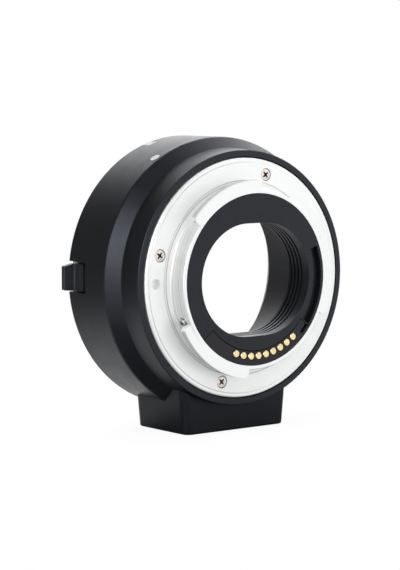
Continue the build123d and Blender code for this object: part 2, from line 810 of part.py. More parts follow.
# Lens mount ring: flange and three inward bayonet tabs
with BuildPart() as lens_mount_ring:
    with BuildSketch(station(flange_distance)):
        Circle(lens_ring_radius)
        Circle(lens_throat_radius, mode=Mode.SUBTRACT)
    extrude(amount=lens_ring_thickness)
    front_edges = lens_mount_ring.edges().group_by(Axis.Y)[-1].sort_by(SortBy.LENGTH)
    chamfer(front_edges[-1], length=lens_ring_edge)
    chamfer(front_edges[0], length=lens_throat_chamfer)
    with BuildSketch(station(flange_distance)) as tabs:
        for angle in lens_tab_angles:
            ArcBand(
                lens_tab_radius,
                lens_throat_radius + lens_throat_chamfer,
                angle - lens_tab_span_angle / 2,
                angle + lens_tab_span_angle / 2,
            )
        tab_corners = tabs.vertices().filter_by(lambda v: hypot(v.X, v.Y) < lens_throat_radius)
        fillet(tab_corners, radius=lens_tab_corner)
    extrude(amount=lens_tab_thickness)
    with BuildSketch(station(flange_distance)):
        with Locations(*lens_screw_places):
            Circle(screw_head_radius + screw_head_gap)
    extrude(amount=screw_sink + screw_head_height, mode=Mode.SUBTRACT)
    with BuildSketch(station(flange_distance)):
        with Locations(*lens_screw_places):
            Circle(screw_shank_radius + fit_gap)
        with Locations(lock_pin_place):
            Circle(lock_pin_radius + lock_pin_hole_gap)
    extrude(amount=lens_ring_thickness, mode=Mode.SUBTRACT)
save(lens_mount_ring.part, "lens_mount_ring")

# Screws of the lens mount ring
lens_mount_screws = cap_screws(lens_screw_places, flange_distance - screw_sink, screw_length, -1)
save(lens_mount_screws, "lens_mount_screws")

# Leaf springs clamped under the lens ring
with BuildPart() as lens_leaf_springs:
    with BuildSketch(station(lens_seat_y - fit_gap)):
        for angle in leaf_angles:
            ArcBand(
                leaf_inner_radius,
                leaf_outer_radius,
                angle - leaf_span_angle / 2,
                angle + leaf_span_angle / 2,
            )
    extrude(amount=leaf_thickness)
save(lens_leaf_springs.part, "lens_leaf_springs")

# Block with a bore for each sprung lens contact
with BuildPart() as lens_contact_block:
    with BuildSketch(station(lens_block_back_y)):
        ArcBand(
            lens_block_inner_radius,
            lens_block_outer_radius,
            lens_block_start_angle,
            lens_block_stop_angle,
        )
        with Locations(*block_screw_places):
            Circle(screw_shank_radius + fit_gap, mode=Mode.SUBTRACT)
    extrude(amount=lens_block_thickness, dir=lensward)
    with BuildSketch(station(lens_contact_floor_y)):
        with Locations(*lens_contact_places):
            Circle(lens_contact_bore_radius)
    extrude(amount=lens_block_thickness, dir=lensward, mode=Mode.SUBTRACT)
save(lens_contact_block.part, "lens_contact_block")

# Cover that keeps the sprung contacts in the block
with BuildPart() as lens_contact_cover:
    with BuildSketch(station(lens_block_front_y)):
        ArcBand(
            lens_block_inner_radius,
            lens_block_outer_radius,
            lens_block_start_angle,
            lens_block_stop_angle,
        )
    extrude(amount=lens_cover_thickness, dir=lensward)
    chamfer(lens_contact_cover.edges().group_by(Axis.Y)[-1], length=lens_cover_edge)
    with BuildSketch(station(lens_block_front_y)):
        with Locations(*block_screw_places):
            Circle(screw_shank_radius + fit_gap)
        with Locations(*lens_contact_places):
            Circle(lens_contact_tip_radius + lens_contact_guide_gap)
    extrude(amount=lens_cover_thickness, dir=lensward, mode=Mode.SUBTRACT)
save(lens_contact_cover.part, "lens_contact_cover")

# Screws through the cover and the block into the ledge
lens_contact_screws = cap_screws(
    block_screw_places, lens_cover_front_y + screw_head_height, lens_block_screw_length, -1
)
save(lens_contact_screws, "lens_contact_screws")

# Sprung lens contacts, each a turned plunger with its spring behind it
for number, (x, z) in enumerate(lens_contact_places, start=1):
    with BuildPart() as lens_contact_pin:
        with BuildSketch(Plane.XY.offset(z)):
            with BuildLine():
                tip_start = (x + lens_contact_tip_radius, lens_contact_tip_y - lens_contact_tip_radius)
                Polyline(
                    (x, lens_contact_tip_y),
                    (x, lens_contact_tail_y),
                    (x + lens_contact_tail_radius, lens_contact_tail_y),
                    (x + lens_contact_tail_radius, lens_contact_shoulder_y),
                    (x + lens_contact_collar_radius, lens_contact_shoulder_y),
                    (x + lens_contact_collar_radius, lens_contact_collar_y),
                    (x + lens_contact_tip_radius, lens_contact_collar_y),
                    tip_start,
                )
                TangentArc(tip_start, (x, lens_contact_tip_y), tangent=lensward)
            make_face()
        revolve(axis=Axis((x, 0, z), lensward))
    save(lens_contact_pin.part, f"lens_contact_pin_{number}")

    with BuildPart() as lens_contact_spring:
        with BuildSketch(station(lens_contact_floor_y + fit_gap)):
            with Locations((x, z)):
                Circle(lens_contact_spring_radius)
                Circle(lens_contact_spring_radius - lens_contact_spring_wall, mode=Mode.SUBTRACT)
        extrude(amount=lens_contact_shoulder_y - lens_contact_floor_y - 2 * fit_gap, dir=lensward)
    save(lens_contact_spring.part, f"lens_contact_spring_{number}")

# Release lever: face plate, concave ramp and thumb ridge outside, keeper inside the wall
with BuildPart() as release_lever:
    with BuildSketch(Plane.XY.offset(lever_height)) as section:
        with BuildLine():
            Polyline(
                (lever_face_x, lever_end_y),
                (lever_face_x, lever_wall_y - lever_wall_lean),
                (lever_ridge_x, lever_wall_y),
                (lever_ridge_x, barrel_end_y),
                (lever_inner_x, barrel_end_y),
                (lever_inner_x, lever_top_y),
                (keeper_inner_x, lever_top_y),
                (keeper_inner_x, lever_end_y),
                close=True,
            )
        make_face()
        ramp = section.vertices().sort_by_distance((lever_face_x, lever_wall_y, 0))[0]
        fillet(ramp, radius=lever_ramp_radius)
        fillet(section.vertices().group_by(Axis.X)[0], radius=lever_edge)
    extrude(amount=lever_half_height, both=True)
    with BuildSketch(station(lever_end_y)) as outline:
        with BuildLine():
            Polyline(
                (keeper_inner_x, lever_height + lever_half_height),
                (lever_face_x, lever_height + lever_half_height),
                (lever_ridge_x, lever_height + lever_ridge_top),
                (lever_ridge_x, lever_height - lever_ridge_bottom),
                (lever_face_x, lever_height - lever_half_height),
                (keeper_inner_x, lever_height - lever_half_height),
                close=True,
            )
        make_face()
        fillet(outline.vertices().group_by(Axis.X)[0], radius=lever_corner)
    extrude(amount=flange_distance, dir=lensward, mode=Mode.INTERSECT)
    with BuildSketch(station(lever_end_y)):
        with Locations(lock_pin_place):
            Rectangle(2 * keeper_half_depth, 2 * keeper_half_height)
    extrude(amount=lever_top_y - lever_end_y, dir=lensward)
    with BuildSketch(station(lever_end_y)):
        with Locations(lock_pin_place):
            Circle(lock_pin_radius + fit_gap)
    extrude(amount=lever_top_y - lever_end_y, dir=lensward, mode=Mode.SUBTRACT)
save(release_lever.part, "release_lever")

# Lock pin, carried by the lever's keeper
with BuildPart() as lock_pin:
    with BuildSketch(station(lever_end_y)):
        with Locations(lock_pin_place):
            Circle(lock_pin_radius)
    extrude(amount=flange_distance + lock_pin_proud - lever_end_y, dir=lensward)
    chamfer(lock_pin.edges().group_by(Axis.Y)[-1], length=lock_pin_nose)
save(lock_pin.part, "lock_pin")

# Return spring of the release, in its bore behind the keeper
with BuildPart() as release_spring:
    with BuildSketch(station(release_spring_start_y + fit_gap)):
        with Locations(lock_pin_place):
            Circle(release_spring_radius)
            Circle(release_spring_radius - release_spring_wall, mode=Mode.SUBTRACT)
    extrude(amount=lever_end_y - release_spring_start_y - 2 * fit_gap, dir=lensward)
save(release_spring.part, "release_spring")

# Tripod foot: a block with drafted sides and a saddle that fits the barrel
saddle = turned_outside(fit_gap)
with BuildPart() as tripod_foot:
    for height, spread in ((foot_bottom_z, 0), (foot_top_z, foot_flare * foot_block_height)):
        with BuildSketch(Plane.XY.offset(height)) as plan:
            with BuildLine():
                Polyline(
                    (-foot_front_half_width - spread, foot_front_y),
                    (foot_front_half_width + spread, foot_front_y),
                    (foot_back_half_width + spread, foot_back_y),
                    (-foot_back_half_width - spread, foot_back_y),
                    close=True,
                )
            make_face()
            fillet(plan.vertices(), radius=foot_corner_radius)
    loft(ruled=True)
    fillet(tripod_foot.edges().group_by(Axis.Z)[0], radius=foot_bottom_edge)
    add(saddle, mode=Mode.SUBTRACT)
    with BuildSketch(Plane.XY.offset(foot_bottom_z)):
        with Locations((0, foot_middle_y)):
            Circle(bush_radius + fit_gap)
        with Locations(*foot_screw_places):
            Circle(screw_shank_radius + fit_gap)
    extrude(amount=foot_block_height, mode=Mode.SUBTRACT)
    with BuildSketch(Plane.XY.offset(foot_bottom_z)):
        with Locations(*foot_screw_places):
            Circle(foot_screw_head_radius + screw_head_gap)
    extrude(amount=foot_screw_sink + foot_screw_head_depth, mode=Mode.SUBTRACT)
save(tripod_foot.part, "tripod_foot")

# Screws that hold the foot to the barrel
with BuildPart() as foot_screws:
    with BuildSketch(Plane.XY.offset(foot_screw_bottom_z)):
        with Locations(*foot_screw_places):
            Circle(foot_screw_head_radius)
    extrude(amount=foot_screw_head_depth)
    with BuildSketch(Plane.XY.offset(foot_screw_bottom_z)):
        with Locations(*foot_screw_places):
            Circle(screw_shank_radius)
    extrude(amount=foot_screw_length)
save(foot_screws.part, "foot_screws")

# Threaded bush for a tripod screw, through the foot into the barrel's wall
with BuildPart() as tripod_bush:
    with BuildSketch(Plane.XY.offset(bush_bottom_z)):
        with Locations((0, foot_middle_y)):
            Circle(bush_radius)
            Circle(bush_radius - bush_wall, mode=Mode.SUBTRACT)
    extrude(amount=bush_length)
    mouth = tripod_bush.edges().group_by(Axis.Z)[0].sort_by(SortBy.LENGTH)[0]
    chamfer(mouth, length=bush_mouth)
save(tripod_bush.part, "tripod_bush")
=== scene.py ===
from math import ceil, cos, pi, radians, sin

import bmesh
import bpy
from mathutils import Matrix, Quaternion, Vector


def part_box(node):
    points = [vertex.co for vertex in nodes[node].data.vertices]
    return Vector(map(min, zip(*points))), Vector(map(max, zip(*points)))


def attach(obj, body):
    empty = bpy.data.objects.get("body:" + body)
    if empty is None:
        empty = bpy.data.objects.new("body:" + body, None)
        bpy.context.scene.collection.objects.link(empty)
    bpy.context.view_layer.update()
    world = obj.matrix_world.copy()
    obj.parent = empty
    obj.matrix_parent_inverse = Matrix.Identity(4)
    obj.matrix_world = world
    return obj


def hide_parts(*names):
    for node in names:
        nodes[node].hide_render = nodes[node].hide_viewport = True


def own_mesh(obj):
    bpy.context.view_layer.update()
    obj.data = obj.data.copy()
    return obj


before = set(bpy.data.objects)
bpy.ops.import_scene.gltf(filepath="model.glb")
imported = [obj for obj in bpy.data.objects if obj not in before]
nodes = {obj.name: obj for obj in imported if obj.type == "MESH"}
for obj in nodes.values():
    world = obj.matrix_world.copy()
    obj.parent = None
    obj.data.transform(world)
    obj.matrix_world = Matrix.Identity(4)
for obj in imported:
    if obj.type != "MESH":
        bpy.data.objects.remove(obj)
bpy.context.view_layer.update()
scene = bpy.context.scene

MM = 0.001
CONTACT_NUMBERS = range(1, 9)
STOP_SCREW_ANGLE = 205.2
STOP_SCREW_Y = -2.15 * MM


def on_circle(radius, angle, y):
    """Point on a circle about the optical axis."""
    return Vector((radius * cos(radians(angle)), y, radius * sin(radians(angle))))


# Values of the finishes

WHITE = (1, 1, 1, 1)
BLUISH_GLOSS = (0.82, 0.86, 1.0, 1)
NOISE_LOW = 0.3
NOISE_HIGH = 0.7
TRACK_PITCH = 0.8 * MM
TRACK_EDGE = 0.1

RING_METAL = {
    "dark": (0.88, 0.89, 0.885),
    "light": (0.96, 0.97, 0.965),
    "smooth": 0.34,
    "rough": 0.42,
    "lines_per_metre": 5000.0,
    "line_depth": 0.012 * MM,
}
LENS_RING_METALLIC = 0.75
CAMERA_RING_METALLIC = 0.45

# Painted shade and dark streaks on the camera ring, all in this dark colour
RING_DARKENING_COLOUR = (0.16, 0.165, 0.17, 1)
# Each dark line of painted shade on the flange, in a groove or at the edge of its band, has a radius, a
# half width and an amount
GROOVE_SHADE_LINES = (
    (22.60 * MM, 0.16 * MM, 0.50),
    (23.20 * MM, 0.18 * MM, 0.70),
    (27.50 * MM, 0.20 * MM, 0.40),
)
FLANGE_FACE = 0.0
FLANGE_REACH = 0.9 * MM
# The painted shade in the grooves is full towards -X and fades towards +X
GROOVE_SHADE_FADE = {"start": -4 * MM, "end": 5 * MM, "first": 1.0, "last": 0.35}

NECK_WALL = 21.3 * MM
NECK_WALL_REACH = 0.5 * MM
NECK_STREAKS_PER_METRE = 1500.0
NECK_WAVES_PER_METRE = 120.0
NECK_WAVE_DEPTH = 1.2 * MM
FAINT_STREAK = 0.02
DARK_STREAK = 0.42
STREAK_FADE = {"start": -19 * MM, "end": -15 * MM, "first": 1.0, "last": 0.0}

# Painted shade on the outer walls of the bayonet tabs: where it lies, and how strong it is
TAB_WALL = 23.55 * MM
TAB_WALL_REACH = 0.4 * MM
TAB_MIDDLE = -3.7 * MM
TAB_DEPTH = 1.8 * MM
TAB_SHADE = 0.55

# Each spot of painted shade, one round the stop screw's head and one at the end of the upper tab, has a
# middle, as radius, angle and place along the axis, then a core, a reach and an amount
RING_SHADE_SPOTS = (
    ((21.5 * MM, STOP_SCREW_ANGLE, STOP_SCREW_Y), 1.0 * MM, 1.7 * MM, 0.85),
    ((22.6 * MM, 142.0, -4.1 * MM), 0.1 * MM, 0.8 * MM, 0.9),
)


# Nodes that the finishes share


def start_finish(name):
    """A new finish with its own shader, and the place on the piece in metres."""
    finish = bpy.data.materials.new(name)
    finish.use_nodes = True
    tree = finish.node_tree
    shader = tree.nodes["Principled BSDF"]
    place = tree.nodes.new("ShaderNodeTexCoord").outputs["Object"]
    return finish, tree, shader, place


def start_noise(tree, dimensions, per_metre, detail, rough):
    """Noise node with about that many clouds or lines to the metre."""
    noise = tree.nodes.new("ShaderNodeTexNoise")
    noise.noise_dimensions = dimensions
    noise.inputs["Scale"].default_value = per_metre
    noise.inputs["Detail"].default_value = detail
    noise.inputs["Roughness"].default_value = rough
    return noise


def speckle(tree, place, per_metre, detail=2.0, rough=0.5):
    """Cloudy noise all through a piece."""
    noise = start_noise(tree, "3D", per_metre, detail, rough)
    tree.links.new(place, noise.inputs["Vector"])
    return noise.outputs["Fac"]


def lines_along(tree, measure, per_metre, detail=2.0, rough=0.5):
    """Noise that changes along one measure only, so that it draws lines."""
    noise = start_noise(tree, "1D", per_metre, detail, rough)
    tree.links.new(measure, noise.inputs["W"])
    return noise.outputs["Fac"]


def shades(tree, amount, dark, light):
    """Colour that runs from dark to light over the usual range of a noise."""
    ramp = tree.nodes.new("ShaderNodeValToRGB")
    ramp.color_ramp.elements[0].position = NOISE_LOW
    ramp.color_ramp.elements[0].color = (*dark, 1)
    ramp.color_ramp.elements[1].position = NOISE_HIGH
    ramp.color_ramp.elements[1].color = (*light, 1)
    tree.links.new(amount, ramp.inputs["Fac"])
    return ramp.outputs["Color"]


def follow(tree, value, kind, start, end, first, last):
    """Number that goes from first to last as a value goes from start to end."""
    step = tree.nodes.new("ShaderNodeMapRange")
    step.interpolation_type = kind
    step.inputs["From Min"].default_value = start
    step.inputs["From Max"].default_value = end
    step.inputs["To Min"].default_value = first
    step.inputs["To Max"].default_value = last
    tree.links.new(value, step.inputs["Value"])
    return step.outputs["Result"]


def spread(tree, amount, low, high):
    """Number that goes evenly from low to high over the usual range of a noise."""
    return follow(tree, amount, "LINEAR", NOISE_LOW, NOISE_HIGH, low, high)


def smooth_step(tree, value, start, end, first, last):
    """Number that goes smoothly from first to last as a value goes from start to end."""
    return follow(tree, value, "SMOOTHSTEP", start, end, first, last)


def maths(tree, step, first, second=0.0):
    """One sum on one or two numbers, each of them an output or a plain value."""
    node = tree.nodes.new("ShaderNodeMath")
    node.operation = step
    for socket, value in zip(node.inputs, (first, second)):
        if isinstance(value, (int, float)):
            socket.default_value = value
        else:
            tree.links.new(value, socket)
    return node.outputs["Value"]


def near_value(tree, value, middle, reach):
    """One where a value meets the middle, fading to nought at that reach from it."""
    away = maths(tree, "ABSOLUTE", maths(tree, "SUBTRACT", value, middle))
    return smooth_step(tree, away, start=0.0, end=reach, first=1.0, last=0.0)


def relief(tree, shader, height, depth, strength):
    """Bump of that depth in metres."""
    bump = tree.nodes.new("ShaderNodeBump")
    bump.inputs["Distance"].default_value = depth
    bump.inputs["Strength"].default_value = strength
    tree.links.new(height, bump.inputs["Height"])
    tree.links.new(bump.outputs["Normal"], shader.inputs["Normal"])


def along_axes(tree, place):
    """The place's three distances, along X, Y and Z."""
    parts = tree.nodes.new("ShaderNodeSeparateXYZ")
    tree.links.new(place, parts.inputs["Vector"])
    return parts.outputs["X"], parts.outputs["Y"], parts.outputs["Z"]


def round_axis(tree, place):
    """Distance from the optical axis, and place along it."""
    x, y, z = along_axes(tree, place)
    across = maths(tree, "MULTIPLY", x, x)
    upward = maths(tree, "MULTIPLY", z, z)
    return maths(tree, "SQRT", maths(tree, "ADD", across, upward)), y


def length_of(tree, place):
    """Distance from the origin."""
    length = tree.nodes.new("ShaderNodeVectorMath")
    length.operation = "LENGTH"
    tree.links.new(place, length.inputs[0])
    return length.outputs["Value"]


# Painted shade and dark streaks on the camera ring


def flange_groove_shade(tree, x, radius, depth):
    """Painted shade in the turned grooves of the flange and at the edge of its band, fainter towards +X.
    """
    groove_shade = 0.0
    for middle, half_width, amount in GROOVE_SHADE_LINES:
        line = maths(tree, "MULTIPLY", near_value(tree, radius, middle, half_width), amount)
        groove_shade = maths(tree, "MAXIMUM", groove_shade, line)
    on_face = near_value(tree, depth, FLANGE_FACE, FLANGE_REACH)
    on_flange = maths(tree, "MULTIPLY", on_face, smooth_step(tree, x, **GROOVE_SHADE_FADE))
    return maths(tree, "MULTIPLY", groove_shade, on_flange)


def neck_streaks(tree, place, x, radius, depth):
    """Wavering streaks round the wall of the neck, on its -X side."""
    wave = speckle(tree, place, NECK_WAVES_PER_METRE, detail=1.0)
    wavering = maths(tree, "ADD", depth, maths(tree, "MULTIPLY", wave, NECK_WAVE_DEPTH))
    streaks = lines_along(tree, wavering, NECK_STREAKS_PER_METRE)
    on_neck = near_value(tree, radius, NECK_WALL, NECK_WALL_REACH)
    on_wall = maths(tree, "MULTIPLY", on_neck, smooth_step(tree, x, **STREAK_FADE))
    return maths(tree, "MULTIPLY", spread(tree, streaks, FAINT_STREAK, DARK_STREAK), on_wall)


def tab_shade(tree, radius, depth):
    """Painted shade on the outer walls of the bayonet tabs."""
    on_rim = near_value(tree, radius, TAB_WALL, TAB_WALL_REACH)
    on_tab = maths(tree, "MULTIPLY", on_rim, near_value(tree, depth, TAB_MIDDLE, TAB_DEPTH))
    return maths(tree, "MULTIPLY", on_tab, TAB_SHADE)


def shade_spot(tree, place, middle, core, reach, amount):
    """Round spot of painted shade that is even in its core and gone at its reach."""
    away = tree.nodes.new("ShaderNodeVectorMath")
    away.operation = "DISTANCE"
    away.inputs[1].default_value = middle
    tree.links.new(place, away.inputs[0])
    return smooth_step(tree, away.outputs["Value"], start=core, end=reach, first=amount, last=0.0)


def darkened_camera_ring(tree, place, metal):
    """Colour of the camera ring: the bright metal, darkened by painted shade in its grooves, on its tab
    walls and round the stop screw, and by dark streaks on its neck.
    """
    x = along_axes(tree, place)[0]
    radius, depth = round_axis(tree, place)
    darkening = maths(tree, "MAXIMUM", flange_groove_shade(tree, x, radius, depth), tab_shade(tree, radius, depth))
    darkening = maths(tree, "MAXIMUM", darkening, neck_streaks(tree, place, x, radius, depth))
    for middle, core, reach, amount in RING_SHADE_SPOTS:
        darkening = maths(tree, "MAXIMUM", darkening, shade_spot(tree, place, on_circle(*middle), core, reach, amount))
    darkened_colour = tree.nodes.new("ShaderNodeMixRGB")
    darkened_colour.inputs["Color2"].default_value = RING_DARKENING_COLOUR
    tree.links.new(darkening, darkened_colour.inputs["Fac"])
    tree.links.new(metal, darkened_colour.inputs["Color1"])
    return darkened_colour.outputs["Color"]


# Finishes


def satin_black_finish(name, dark, light, smooth, rough, gloss):
    """Black anodised metal with a fine blasted grain."""
    finish, tree, shader, place = start_finish(name)
    cloud = speckle(tree, place, per_metre=260.0, detail=3.0)
    grain = speckle(tree, place, per_metre=9000.0, rough=0.6)
    tree.links.new(shades(tree, cloud, dark, light), shader.inputs["Base Color"])
    tree.links.new(spread(tree, cloud, smooth, rough), shader.inputs["Roughness"])
    shader.inputs["Specular IOR Level"].default_value = gloss
    shader.inputs["Specular Tint"].default_value = BLUISH_GLOSS
    relief(tree, shader, grain, depth=0.02 * MM, strength=0.25)
    return finish


def bright_metal_finish(
    name, metallic, dark, light, smooth, rough, lines_per_metre, line_depth, darken_with=None
):
    """Bright metal with a lathe's fine lines on faces and cylinders alike, darkened where a function for
    that is given.
    """
    finish, tree, shader, place = start_finish(name)
    radius, depth = round_axis(tree, place)
    lines = lines_along(tree, maths(tree, "ADD", radius, depth), lines_per_metre, detail=3.0, rough=0.7)
    cloud = speckle(tree, place, per_metre=180.0)
    colour = shades(tree, lines, dark, light)
    if darken_with is not None:
        colour = darken_with(tree, place, colour)
    tree.links.new(colour, shader.inputs["Base Color"])
    tree.links.new(spread(tree, cloud, smooth, rough), shader.inputs["Roughness"])
    shader.inputs["Metallic"].default_value = metallic
    relief(tree, shader, lines, depth=line_depth, strength=0.35)
    return finish


def moulded_plastic_finish(name, dark, light, smooth, rough, grain_per_metre):
    """Moulded plastic with a matt grain."""
    finish, tree, shader, place = start_finish(name)
    cloud = speckle(tree, place, per_metre=400.0)
    grain = speckle(tree, place, grain_per_metre, rough=0.6)
    tree.links.new(shades(tree, cloud, dark, light), shader.inputs["Base Color"])
    tree.links.new(spread(tree, grain, smooth, rough), shader.inputs["Roughness"])
    shader.inputs["Specular IOR Level"].default_value = 0.3
    shader.inputs["Specular Tint"].default_value = BLUISH_GLOSS
    relief(tree, shader, grain, depth=0.03 * MM, strength=0.3)
    return finish


def plated_metal_finish(name, dark, light, smooth, rough):
    """Plated metal with faint clouding."""
    finish, tree, shader, place = start_finish(name)
    cloud = speckle(tree, place, per_metre=1200.0, detail=3.0)
    grain = speckle(tree, place, per_metre=12000.0)
    tree.links.new(shades(tree, cloud, dark, light), shader.inputs["Base Color"])
    tree.links.new(spread(tree, cloud, smooth, rough), shader.inputs["Roughness"])
    shader.inputs["Metallic"].default_value = 1.0
    relief(tree, shader, grain, depth=0.01 * MM, strength=0.2)
    return finish


def mark_paint_finish():
    """White filling of the index marks."""
    finish, tree, shader, place = start_finish("mark_paint")
    cloud = speckle(tree, place, per_metre=2500.0, detail=3.0)
    paint = shades(tree, cloud, dark=(0.56, 0.56, 0.55), light=(0.64, 0.64, 0.63))
    tree.links.new(paint, shader.inputs["Base Color"])
    shader.inputs["Roughness"].default_value = 0.55
    relief(tree, shader, cloud, depth=0.03 * MM, strength=0.3)
    return finish


def circuit_film_finish():
    """Amber film with fine copper tracks along it."""
    finish, tree, shader, place = start_finish("circuit_film")
    across = maths(tree, "MULTIPLY", along_axes(tree, place)[0], 2 * pi / TRACK_PITCH)
    track = maths(tree, "GREATER_THAN", maths(tree, "SINE", across), TRACK_EDGE)
    film = shades(tree, track, dark=(0.30, 0.12, 0.02), light=(0.55, 0.27, 0.10))
    tree.links.new(film, shader.inputs["Base Color"])
    shader.inputs["Roughness"].default_value = 0.35
    relief(tree, shader, track, depth=0.03 * MM, strength=0.5)
    return finish


satin_black = satin_black_finish(
    "satin_black",
    dark=(0.0042, 0.0045, 0.0056),
    light=(0.0056, 0.0059, 0.0072),
    smooth=0.38,
    rough=0.44,
    gloss=0.40,
)
foot_black = satin_black_finish(
    "foot_black",
    dark=(0.0040, 0.0042, 0.0050),
    light=(0.0052, 0.0054, 0.0062),
    smooth=0.38,
    rough=0.44,
    gloss=0.26,
)
lever_black = satin_black_finish(
    "lever_black",
    dark=(0.0175, 0.0180, 0.0205),
    light=(0.0220, 0.0225, 0.0250),
    smooth=0.40,
    rough=0.46,
    gloss=0.40,
)
bright_ring = bright_metal_finish("bright_ring", LENS_RING_METALLIC, **RING_METAL)
# The camera ring is darkened by painted shade in its grooves, on its tab walls and round the stop screw,
# and by dark streaks on its neck
camera_ring = bright_metal_finish("camera_ring", CAMERA_RING_METALLIC, darken_with=darkened_camera_ring, **RING_METAL)
socket_steel = bright_metal_finish(
    "socket_steel",
    metallic=1.0,
    dark=(0.50, 0.50, 0.49),
    light=(0.62, 0.62, 0.61),
    smooth=0.26,
    rough=0.34,
    lines_per_metre=4000.0,
    line_depth=0.01 * MM,
)
screw_nickel = plated_metal_finish(
    "screw_nickel", dark=(0.66, 0.61, 0.56), light=(0.76, 0.71, 0.66), smooth=0.24, rough=0.34
)
# Dark metal for the cross recesses of the screws: painted shade, with some oxide in them
recess_shade_and_oxide = plated_metal_finish(
    "recess_shade_and_oxide", dark=(0.045, 0.043, 0.040), light=(0.075, 0.071, 0.066), smooth=0.45, rough=0.60
)
spring_wire = plated_metal_finish(
    "spring_wire", dark=(0.48, 0.48, 0.47), light=(0.60, 0.60, 0.59), smooth=0.22, rough=0.32
)
contact_gold = plated_metal_finish(
    "contact_gold", dark=(0.80, 0.66, 0.36), light=(0.88, 0.75, 0.45), smooth=0.32, rough=0.42
)
baffle_plastic = moulded_plastic_finish(
    "baffle_plastic",
    dark=(0.0080, 0.0087, 0.0106),
    light=(0.0106, 0.0113, 0.0134),
    smooth=0.34,
    rough=0.42,
    grain_per_metre=6000.0,
)
contact_plastic = moulded_plastic_finish(
    "contact_plastic",
    dark=(0.0125, 0.0120, 0.0112),
    light=(0.0165, 0.0158, 0.0148),
    smooth=0.48,
    rough=0.58,
    grain_per_metre=5000.0,
)
mark_paint = mark_paint_finish()
circuit_film = circuit_film_finish()


# Ways of handling a piece


def let_go():
    """Nothing is selected, before a new piece is started."""
    bpy.ops.object.select_all(action="DESELECT")


def take(piece):
    """Only this piece is selected."""
    let_go()
    piece.select_set(True)
    bpy.context.view_layer.objects.active = piece


def settle(piece):
    """Put a piece's place and turn into its mesh, so that its object sits at the origin."""
    take(piece)
    bpy.ops.object.transform_apply(location=True, rotation=True, scale=True)


def copy_of(master):
    """Copy of a piece, with its own mesh."""
    take(master)
    bpy.ops.object.duplicate(linked=False)
    return bpy.context.object


def join(pieces):
    """Make one piece of several."""
    take(pieces[0])
    for piece in pieces:
        piece.select_set(True)
    bpy.ops.object.join()
    return bpy.context.object


def pick_faces(piece, wanted):
    """In edit mode, select only the faces whose normal is wanted."""
    bpy.ops.mesh.select_mode(type="FACE")
    bpy.ops.mesh.select_all(action="DESELECT")
    shape = bmesh.from_edit_mesh(piece.data)
    for face in shape.faces:
        face.select_set(wanted(face.normal))
    bmesh.update_edit_mesh(piece.data)


def pick_edges(piece, wanted):
    """In edit mode, select only the edges whose two ends are wanted."""
    bpy.ops.mesh.select_mode(type="EDGE")
    bpy.ops.mesh.select_all(action="DESELECT")
    shape = bmesh.from_edit_mesh(piece.data)
    for edge in shape.edges:
        edge.select_set(all(wanted(end.co) for end in edge.verts))
    bmesh.update_edit_mesh(piece.data)


def carve(piece, tool, step):
    """Cut a tool out of a piece or join it on, and put the tool away."""
    cut = piece.modifiers.new("carve", "BOOLEAN")
    cut.operation = step
    cut.solver = "EXACT"
    cut.material_mode = "TRANSFER"
    cut.object = tool
    take(piece)
    bpy.ops.object.modifier_apply(modifier=cut.name)
    bpy.data.objects.remove(tool)


def coat(piece, finish):
    """Give a piece one finish all over."""
    piece.data.materials.clear()
    piece.data.materials.append(finish)


def dress(piece, name, node):
    """Name a finished piece, hang it on the body it rides on, and hide the CAD node that it stands for.
    """
    piece.name = name
    piece.data.name = name
    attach(piece, "adapter_body")
    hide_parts(node)


# Finishes of the CAD pieces

LOOKS = {
    "barrel_housing": (satin_black, "black_metal"),
    "tripod_foot": (foot_black, "black_metal"),
    "release_lever": (lever_black, "black_metal"),
    "index_marks": (mark_paint, "white_mark"),
    "camera_mount_ring": (camera_ring, "bright_ring"),
    "lens_mount_ring": (bright_ring, "bright_ring"),
    "light_baffle": (baffle_plastic, "black_plastic"),
    "camera_contact_block": (contact_plastic, "contact_plastic"),
    "lens_contact_block": (contact_plastic, "contact_plastic"),
    "lens_contact_cover": (contact_plastic, "contact_plastic"),
    "camera_contacts": (contact_gold, "gold"),
    "lens_leaf_springs": (spring_wire, "spring_steel"),
    "lock_pin": (screw_nickel, "screw_steel"),
    "flex_circuit": (circuit_film, "circuit_film"),
}
for number in CONTACT_NUMBERS:
    LOOKS[f"lens_contact_pin_{number}"] = (contact_gold, "gold")

for name, (finish, slot_name) in LOOKS.items():
    node = nodes[name]
    coat(node, finish)


# Sizes of the screws, springs and the tripod bush, which follow their solids

TO_CAMERA = (0, -1, 0)
TO_LENS = (0, 1, 0)
DOWN = (0, 0, -1)

# A face looks along an axis when its normal goes further along it than this
FACING = 0.5

# A circle of three points is a triangle of this width and height, with a third of it below the centre
VEE_WIDTH = 3 ** 0.5
VEE_HEIGHT = 1.5
VEE_MERGE = 0.001 * MM
SPARE_TURNS = 2

SHORT_SCREW = {
    "head_radius": 1.42 * MM,
    "head_height": 0.75 * MM,
    "round_edge": 0.2 * MM,
    "shank_radius": 0.8 * MM,
    "length": 5.2 * MM,
}
LONG_SCREW = {**SHORT_SCREW, "length": 10.5 * MM}
STOP_SCREW = {
    "head_radius": 0.95 * MM,
    "head_height": 0.65 * MM,
    "round_edge": 0.2 * MM,
    "shank_radius": 0.5 * MM,
    "length": 1.3 * MM,
}
STOP_HEAD_RADIUS = 21.83 * MM
FOOT_SCREW = {
    "head_radius": 1.9 * MM,
    "head_height": 1.1 * MM,
    "round_edge": 0.15 * MM,
    "shank_radius": 0.8 * MM,
    "length": 9.4 * MM,
}
FOOT_HEADS_X = (-9.8 * MM, 9.8 * MM)
FOOT_HEADS_Y = 12.45 * MM
FOOT_HEADS_Z = -36.55 * MM

